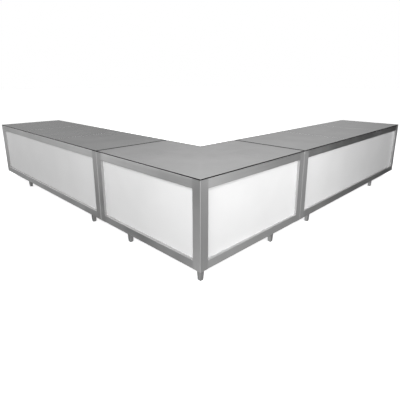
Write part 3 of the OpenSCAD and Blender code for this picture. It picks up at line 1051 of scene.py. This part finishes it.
@dataclass
class Feet:
    """The levelling feet: a tapered steel shell on a nylon glide, a dark collar and a stud.

    The collar is nearly as wide as the shell, so that its dark nylon draws the dark line of the
    frame's shadow above each foot: a painted shade. The shell's steel is darker than the frame's,
    a painted shade for the shadow under the counter.
    """

    finishes: dict[str, Material]
    base_half: float = 18 * MM
    top_half: float = 22 * MM
    shell_top: float = 90 * MM
    frame_height: float = 95 * MM
    chamfer: float = 1.5 * MM
    glide: float = 3 * MM
    glide_inset: float = 2.5 * MM
    # The collar's width lets its dark nylon draw the frame's shadow above each foot: a painted
    # shade.
    collar_half: float = 20.5 * MM
    collar_groove: float = 0.8 * MM
    stud_radius: float = 8 * MM
    thread_depth: float = 0.9 * MM
    thread_pitch: float = 2 * MM
    sharpness: float = 9.0
    nodes: list[str] = field(default_factory=lambda: sorted(
        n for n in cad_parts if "_foot_" in n))

    def square_loft(self, halves: Sequence[float], levels: Sequence[float],
                    around: int = 64) -> Surface:
        """An upright body of square section with softly rounded edges.

        Its section is a superellipse: at angle a the point is half * (sign(c) |c|^p, sign(s) |s|^p)
        with c = cos a, s = sin a and p = 2 / sharpness, so that a high sharpness is nearly square.

        Args:
            halves: half of the width at each level.
            levels: the heights.
            around: points on each section.

        Returns:
            The surface, with both ends closed.
        """
        angle = np.linspace(0, 2 * math.pi, around, endpoint=False) + math.pi / around
        x, y = (np.sign(v) * np.abs(v) ** (2 / self.sharpness)
                for v in (np.cos(angle), np.sin(angle)))
        return stacked(np.array(halves)[:, None], x, y, np.array(levels))

    def stud(self, high: float, around: int = 20, per_turn: int = 4) -> Surface:
        """The threaded stud: its radius follows a triangle wave that climbs one pitch in each turn.

        At height z and angle a the wave's phase is the fraction of z / pitch - a / (2 pi), and the
        radius is radius - depth * |2 phase - 1|. The first and last rings are plain, at the root.

        Args:
            high: height of its upper end.
            around: points on each ring.
            per_turn: rings in one pitch.

        Returns:
            The surface, with both ends closed.
        """
        angle = np.linspace(0, 2 * math.pi, around, endpoint=False)
        rings = round((high - self.frame_height) / self.thread_pitch * per_turn) + 1
        levels = np.linspace(self.frame_height, high, rings)
        phase = np.mod(levels[:, None] / self.thread_pitch - angle / (2 * math.pi), 1.0)
        size = self.stud_radius - self.thread_depth * np.abs(2 * phase - 1)
        size[[0, -1]] = self.stud_radius - self.thread_depth
        return stacked(size, np.cos(angle), np.sin(angle), levels)

    def shell(self) -> Surface:
        """The tapered shell: its sides are straight between a chamfer at each end.

        Returns:
            Its surface.
        """
        levels = np.array([self.glide, self.glide + self.chamfer, self.shell_top - self.chamfer,
                           self.shell_top])
        halves = self.base_half + (self.top_half - self.base_half) * levels / self.shell_top
        halves[[0, -1]] -= self.chamfer
        return self.square_loft(halves, levels)

    def collar(self) -> Surface:
        """The square collar between shell and frame, with a groove round its middle.

        Returns:
            Its surface.
        """
        half, groove = self.collar_half, self.collar_groove
        middle = (self.shell_top + self.frame_height) / 2
        return self.square_loft([half, half, half - groove, half - groove, half, half],
                                [self.shell_top, middle - groove, middle - groove / 2,
                                 middle + groove / 2, middle + groove, self.frame_height])

    def build(self) -> None:
        """Makes all feet, each on its own body."""
        for node in self.nodes:
            low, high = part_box(node)
            place = ((low.x + high.x) / 2, (low.y + high.y) / 2, 0.0)
            glide = self.square_loft([self.base_half - self.glide_inset] * 2, [0.0, self.glide])
            for part, surface, finish, slot, replaced in (
                    ("shell", self.shell(), "foot", "foot_steel", [node]),
                    ("glide", glide, "plastic", "black_rubber", []),
                    ("collar", self.collar(), "plastic", "black_rubber", []),
                    ("stud", self.stud(high.z), "zinc", "zinc_steel", [])):
                make_piece(f"{node}_{part}", surface.shifted(place), [self.finishes[finish]],
                           replaced, f"{node}_body")


# Studio


class Lit(Enum):
    """What a light falls on. A low light is screened off the tops, where it would only glare."""

    EVERYTHING = "everything"
    TOPS = "tops"
    REST = "rest"


@dataclass(frozen=True)
class SoftLight:
    """A rectangular soft light."""

    name: str
    place: tuple[float, float, float]
    aim: tuple[float, float, float]
    size: tuple[float, float]
    power: float
    lit: Lit = Lit.REST

    def build(self, tops: Sequence[Piece]) -> None:
        """Hangs the light, aims it, and lets it fall on the tops alone or on everything else.

        Args:
            tops: the plates of the tops.
        """
        data = bpy.data.lights.new(self.name, "AREA")
        data.shape = "RECTANGLE"
        data.size, data.size_y = self.size
        data.energy = self.power
        lamp = bpy.data.objects.new(self.name, data)
        lamp.location = self.place
        lamp.rotation_mode = "QUATERNION"
        lamp.rotation_quaternion = (Vector(self.aim) - Vector(self.place)).to_track_quat("-Z", "Y")
        bpy.context.scene.collection.objects.link(lamp)
        if self.lit is Lit.EVERYTHING:
            return
        receivers = bpy.data.collections.new(f"{self.name}_receivers")
        for plate in tops:
            receivers.objects.link(plate)
        for entry in receivers.collection_objects:
            entry.light_linking.link_state = "INCLUDE" if self.lit is Lit.TOPS else "EXCLUDE"
        lamp.light_linking.receiver_collection = receivers


@dataclass(frozen=True)
class WallPatch:
    """A soft bright patch on the walls of the room, such as a window or a lit board.

    Its brightness is full at its middle, falls to half at half_width or half_height from there and
    to nothing at twice that, along a smooth step. All angles are degrees.
    """

    azimuth: float
    elevation: float
    half_width: float
    half_height: float
    strength: float

    def level(self, tree: Tree, direction: Any) -> Node:
        """Adds the nodes that give the patch's brightness in a direction.

        The angles off its middle, sideways and upwards, each fall along a smooth step, and the two
        are multiplied.

        Args:
            tree: the node tree of the world.
            direction: the socket with the direction.

        Returns:
            The node that gives the brightness.
        """
        facing = add_node(tree, "VectorRotate",
                          {"rotation_type": "Z_AXIS", "Angle": -math.radians(self.azimuth)},
                          {0: direction})
        axes = add_node(tree, "SeparateXYZ", links={0: facing}).outputs
        turn = add_node(tree, "Math", {"operation": "ARCTAN2"}, {0: axes[1], 1: axes[0]})
        rise = add_node(tree, "Math", {"operation": "ARCSINE"}, {0: axes[2]})
        falls = []
        for angle, middle, half, full in ((turn, 0.0, self.half_width, self.strength),
                                          (rise, self.elevation, self.half_height, 1.0)):
            off = add_node(tree, "Math",
                           {"operation": "SUBTRACT", 1: math.radians(middle)}, {0: angle})
            size = add_node(tree, "Math", {"operation": "ABSOLUTE"}, {0: off})
            falls.append(add_node(tree, "MapRange",
                                  {"interpolation_type": "SMOOTHSTEP", 1: 0.0,
                                   2: 2 * math.radians(half), 3: full, 4: 0.0}, {0: size}))
        return add_node(tree, "Math", {"operation": "MULTIPLY"}, dict(enumerate(falls)))


@dataclass
class Studio:
    """A white sweep with soft light, and the camera at the photograph's viewpoint."""

    tops: Sequence[Piece]
    camera_place: tuple[float, float, float] = (-3.948, -3.954, 1.543)
    camera_yaw: float = 44.7347
    camera_pitch: float = 14.8903
    focal_mm: float = 31.31
    sensor_mm: float = 36.0
    shift: tuple[float, float] = (-0.0062, -0.0692)
    floor_half: float = 60.0
    floor_colour: str = "f4f4f4"
    floor_roughness: float = 0.9
    floor_glow: float = 0.75
    far_clip: float = 500.0
    wall_low: float = 0.023
    wall_high: float = 0.058
    wall_low_sine: float = -0.34
    wall_high_sine: float = 0.64
    walls: tuple[WallPatch, ...] = (
        WallPatch(65, 55, 55, 25, 0.116),
        WallPatch(65, -15, 50, 20, 0.028),
    )
    curtain: WallPatch = WallPatch(345, 0, 16, 60, 0.95)
    patches: tuple[WallPatch, ...] = (
        WallPatch(43, 31, 29.5, 15.5, 1.06),
        WallPatch(46, 35.5, 23.5, 14.5, 1.73),
        WallPatch(114, 14.5, 10, 9, 2.11),
        WallPatch(121.5, -2.5, 10, 11, 1.07),
        WallPatch(318.5, -16, 10, 9, 1.01),
        WallPatch(154.5, -41, 16.5, 17.5, 1.71),
        WallPatch(300, -42.5, 17.5, 11.5, 1.32),
        WallPatch(224, -14.5, 24.5, 16.5, 1.1),
        WallPatch(21, 9, 10, 9.5, 0.28),
        WallPatch(78.5, 6.5, 12.5, 9, 0.3),
        WallPatch(39, 15, 10, 9, 0.14),
        WallPatch(225, 16, 40, 10, 0.2),
        WallPatch(312, 28, 12, 12, 0.7),
    )
    lights: tuple[SoftLight, ...] = (
        SoftLight("flash", (-3.98, -3.98, 2.75), (-2.0, -2.0, 0.6), (0.3, 0.3), 41.0),
        SoftLight("key_left", (-5.2, -3.0, 2.2), (-1.9, -1.7, 0.5), (1.5, 1.5), 59.9),
        SoftLight("side_left", (-6.0, 2.5, 2.2), (-2.0, 1.5, 0.5), (2.5, 2.5), 44.6),
        SoftLight("side_right", (-1.2, -5.0, 1.6), (-1.0, -2.2, 0.5), (1.5, 1.5), 56.5),
        SoftLight("far_right", (2.5, -6.0, 2.2), (1.5, -2.0, 0.5), (2.5, 2.5), 22.7),
        SoftLight("back_light", (4.5, 4.5, 3.6), (-0.6, -0.6, 0.4), (3.0, 3.0), 260.0),
        SoftLight("top_light", (1.2, 1.2, 6.0), (0.0, 0.0, 0.8), (3.0, 3.0), 107.3, Lit.EVERYTHING),
        SoftLight("tops_high", (1.2, 1.2, 6.0), (0.0, 0.0, 0.8), (3.0, 3.0), 36.5, Lit.TOPS),
        SoftLight("tops_corner", (-2.4, -2.4, 3.4), (-1.8, -1.8, 0.8), (1.5, 1.5), 25.8, Lit.TOPS),
    )

    def camera(self) -> None:
        """Places the camera: it looks along the yaw in plan, tilted down by the pitch."""
        yaw, pitch = math.radians(self.camera_yaw), math.radians(self.camera_pitch)
        ahead = Vector((math.cos(yaw) * math.cos(pitch), math.sin(yaw) * math.cos(pitch),
                        -math.sin(pitch)))
        data = bpy.data.cameras.new("camera")
        data.lens, data.sensor_width = self.focal_mm, self.sensor_mm
        data.shift_x, data.shift_y = self.shift
        data.clip_end = self.far_clip
        camera = bpy.data.objects.new("camera", data)
        camera.location = self.camera_place
        camera.rotation_mode = "QUATERNION"
        camera.rotation_quaternion = ahead.to_track_quat("-Z", "Y")
        bpy.context.scene.collection.objects.link(camera)
        bpy.context.scene.camera = camera

    def floor(self) -> None:
        """Lays a matt white floor. Only the camera sees it, so the steel mirrors the room."""
        h = self.floor_half
        mesh = bpy.data.meshes.new("floor")
        mesh.from_pydata([(-h, -h, 0), (h, -h, 0), (h, h, 0), (-h, h, 0)], [], [(0, 1, 2, 3)])
        material, tree = new_material("white_sweep")
        add_shader(tree, {"Base Color": linear(self.floor_colour),
                          "Roughness": self.floor_roughness, "Emission Color": linear("ffffff"),
                          "Emission Strength": self.floor_glow}, {})
        mesh.materials.append(material)
        floor = bpy.data.objects.new("floor", mesh)
        bpy.context.scene.collection.objects.link(floor)
        floor.visible_diffuse = False
        floor.visible_glossy = False
        floor.visible_transmission = False
        floor.visible_shadow = False

    def with_patches(self, tree: Tree, direction: Any, level: Node,
                     patches: Sequence[WallPatch]) -> Node:
        """Adds patches to the brightness of the walls.

        Args:
            tree: the node tree of the world.
            direction: the socket with the direction.
            level: the node that gives the brightness without them.
            patches: the patches.

        Returns:
            The node that gives the brightness with them.
        """
        for patch in patches:
            level = add_node(tree, "Math", {"operation": "ADD"},
                             {0: level, 1: patch.level(tree, direction)})
        return level

    def room(self) -> None:
        """Surrounds the counter with light: white behind it, and a softer room for its surfaces.

        The walls grow brighter with the sine of the elevation. The wide patches are added to them,
        the curtain covers its share, and the bright patches are added to what is left.
        """
        world = bpy.data.worlds.new("room")
        world.use_nodes = True
        tree = world.node_tree
        tree.nodes.clear()
        direction = add_node(tree, "TexCoord").outputs["Generated"]
        up = add_node(tree, "SeparateXYZ", links={0: direction}).outputs[2]
        level = add_node(tree, "MapRange",
                         {1: self.wall_low_sine, 2: self.wall_high_sine, 3: self.wall_low,
                          4: self.wall_high}, {0: up})
        level = self.with_patches(tree, direction, level, self.walls)
        uncovered = add_node(tree, "Math", {"operation": "SUBTRACT", 0: 1.0},
                             {1: self.curtain.level(tree, direction)})
        level = add_node(tree, "Math", {"operation": "MULTIPLY"}, {0: level, 1: uncovered})
        level = self.with_patches(tree, direction, level, self.patches)
        room = add_node(tree, "Background", {"Color": (1, 1, 1, 1)}, {"Strength": level})
        sweep = add_node(tree, "Background", {"Color": (1, 1, 1, 1), "Strength": 1.0})
        seen = add_node(tree, "LightPath").outputs["Is Camera Ray"]
        mixed = add_node(tree, "MixShader", links={0: seen, 1: room, 2: sweep})
        add_node(tree, "OutputWorld", links={"Surface": mixed})
        bpy.context.scene.world = world

    def build(self) -> None:
        """Sets up camera, floor, room and lights, with plain sRGB tones."""
        bpy.context.scene.view_settings.view_transform = "Standard"
        self.camera()
        self.floor()
        self.room()
        for light in self.lights:
            light.build(self.tops)


def main() -> None:
    """Builds the finishes, the sub-assemblies and the studio."""
    logging.basicConfig(level=logging.INFO, format="%(message)s")
    finishes = Finishes().materials()
    row = Row()
    SteelFrame(finishes).dress()
    tops = Worktops(finishes, row).build()
    Panels(finishes, row).build()
    Storage(finishes).dress()
    Fixings(finishes).dress()
    Feet(finishes).build()
    Studio(tops).build()


if __name__ == "__main__":
    main()
